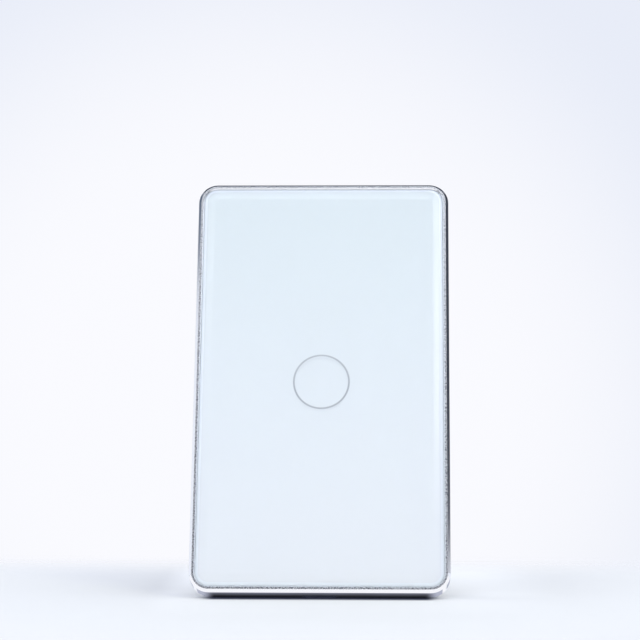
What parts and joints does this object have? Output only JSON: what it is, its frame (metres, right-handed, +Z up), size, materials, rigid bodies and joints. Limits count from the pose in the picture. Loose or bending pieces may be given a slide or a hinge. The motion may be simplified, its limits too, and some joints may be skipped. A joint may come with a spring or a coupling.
{
  "type": "touch light switch",
  "caption": "Smart touch light switch for a one-gang wall box: bevelled glass front in a metal frame, snapped over a steel yoke and a rear housing with relay, boards and clamps.",
  "frame": {"origin": "midway between the two wall screws, on the plane of the wall (the yoke's back)", "axes": "+X to the right and +Z up seen from the room, +Y into the wall; the glass faces -Y"},
  "size_m": [0.072, 0.0335, 0.12],
  "materials": {
    "front_glass": "clear tempered glass, polished, with a shallow bevel",
    "white_print": "cool white print on the back of the glass",
    "clear_glue": "clear glue sheet",
    "frame_metal": "fine blasted lip, polished chamfer and satin sides",
    "carrier_plastic": "moulded dark brown plastic",
    "light_diffuser": "milky light guide",
    "dark_plastic": "fine textured charcoal plastic",
    "yoke_steel": "zinc plated sheet steel",
    "screw_steel": "plated steel",
    "ground_green": "green passivated screw",
    "brass": "plain brass",
    "spring_plating": "nickel plated wire",
    "led_white": "white chip with a yellow lens",
    "board_black": "black solder mask",
    "board_green": "green solder mask",
    "module_blue": "blue solder mask",
    "chip_black": "moulded chip with tinned legs",
    "shield_nickel": "plated tin can",
    "resistor_black": "chip resistor",
    "capacitor_tan": "ceramic chip capacitor",
    "connector_black": "moulded connector",
    "relay_black": "moulded relay case",
    "bobbin_white": "moulded bobbin",
    "copper_wire": "enamelled copper wire",
    "relay_iron": "plated soft iron",
    "contact_copper": "copper alloy with silver contacts",
    "tinned_metal": "tinned metal",
    "ferrite": "sintered ferrite",
    "winding_tape": "yellow tape over the winding",
    "can_sleeve": "sleeved aluminium can",
    "box_yellow": "moulded capacitor box",
    "varistor_blue": "dipped coating",
    "fuse_ceramic": "ceramic body with plated caps",
    "terminal_plastic": "grey moulded terminal block"
  },
  "bodies": {
    "root": {"base_frame": "dark_plastic", "mounting_yoke": "yoke_steel", "housing_screws": "screw_steel", "rear_housing": "dark_plastic", "control_board": "board_black", "control_board_screws": "screw_steel", "touch_spring": "spring_plating", "indicator_leds": "led_white", "touch_controller": "chip_black", "clock_crystal": "shield_nickel", "chip_resistors": "resistor_black", "chip_capacitors": "capacitor_tan", "wireless_board": "module_blue", "wireless_shield": "shield_nickel", "board_socket": "connector_black", "board_header": "connector_black", "power_board": "board_green", "power_board_screws": "screw_steel", "terminal_bars": "brass", "relay_base": "relay_black", "relay_cover": "relay_black", "relay_bobbin": "bobbin_white", "relay_winding": "copper_wire", "relay_core": "relay_iron", "relay_frame": "relay_iron", "relay_fixed_contact": "contact_copper", "relay_pins": "tinned_metal", "transformer_core": "ferrite", "transformer_bobbin": "bobbin_white", "transformer_winding": "winding_tape", "bulk_capacitors": "can_sleeve", "output_capacitor": "can_sleeve", "suppression_capacitor": "box_yellow", "varistor": "varistor_blue", "fuse": "fuse_ceramic", "bridge_rectifier": "chip_black", "power_controller": "chip_black", "voltage_regulator": "chip_black", "filter_inductor": "ferrite", "inductor_winding": "copper_wire", "terminal_block_line": "terminal_plastic", "terminal_block_neutral": "terminal_plastic", "terminal_block_load": "terminal_plastic"},
    "front_panel": {"glass_panel": "front_glass", "print_film": "white_print", "panel_adhesive": "clear_glue", "trim_frame": "frame_metal", "front_carrier": "carrier_plastic", "light_guide_ring": "light_diffuser"},
    "relay_armature": {"relay_armature": "relay_iron", "relay_contact_arm": "contact_copper"},
    "ground_clamp": {"ground_clamp": "brass"},
    "ground_screw": {"ground_screw": "ground_green"},
    "cage_line": {"clamp_cage_line": "tinned_metal"},
    "screw_line": {"terminal_screw_line": "screw_steel"},
    "cage_neutral": {"clamp_cage_neutral": "tinned_metal"},
    "screw_neutral": {"terminal_screw_neutral": "screw_steel"},
    "cage_load": {"clamp_cage_load": "tinned_metal"},
    "screw_load": {"terminal_screw_load": "screw_steel"}
  },
  "joints": [
    {"name": "front_panel_pull", "type": "slide", "parent": "root", "child": "front_panel", "axis": [0, -1, 0], "range_m": [0, 0.025]},
    {"name": "relay_armature_tilt", "type": "hinge", "parent": "root", "child": "relay_armature", "pos_m": [-0.0079, 0.0196, -0.00109], "axis": [1, 0, 0], "range_deg": [0, 5.5], "stiffness_Nm_per_rad": 0.004, "springref_deg": -17.19},
    {"name": "ground_clamp_slide", "type": "slide", "parent": "root", "child": "ground_clamp", "axis": [-1, 0, 0], "range_m": [0, 0.00238]},
    {"name": "ground_screw_turn", "type": "hinge", "parent": "ground_clamp", "child": "ground_screw", "pos_m": [0.0142, 0.0044, 0.038], "axis": [-1, 0, 0], "range_deg": [0, 1080]},
    {"name": "screw_line_turn", "type": "hinge", "parent": "root", "child": "screw_line", "pos_m": [-0.0095, 0.0245, -0.0285], "axis": [0, -1, 0], "range_deg": [0, 1625]},
    {"name": "cage_line_rise", "type": "slide", "parent": "root", "child": "cage_line", "axis": [0, 1, 0], "range_m": [0, 0.0027]},
    {"name": "screw_neutral_turn", "type": "hinge", "parent": "root", "child": "screw_neutral", "pos_m": [0, 0.0245, -0.0285], "axis": [0, -1, 0], "range_deg": [0, 1625]},
    {"name": "cage_neutral_rise", "type": "slide", "parent": "root", "child": "cage_neutral", "axis": [0, 1, 0], "range_m": [0, 0.0027]},
    {"name": "screw_load_turn", "type": "hinge", "parent": "root", "child": "screw_load", "pos_m": [0.0095, 0.0245, -0.0285], "axis": [0, -1, 0], "range_deg": [0, 1625]},
    {"name": "cage_load_rise", "type": "slide", "parent": "root", "child": "cage_load", "axis": [0, 1, 0], "range_m": [0, 0.0027]}
  ],
  "couplings": [
    {"joint": "ground_screw_turn", "follows": "ground_clamp_slide", "rad_per_m": 7915.8},
    {"joint": "screw_line_turn", "follows": "cage_line_rise", "rad_per_m": 10472},
    {"joint": "screw_neutral_turn", "follows": "cage_neutral_rise", "rad_per_m": 10472},
    {"joint": "screw_load_turn", "follows": "cage_load_rise", "rad_per_m": 10472}
  ]
}
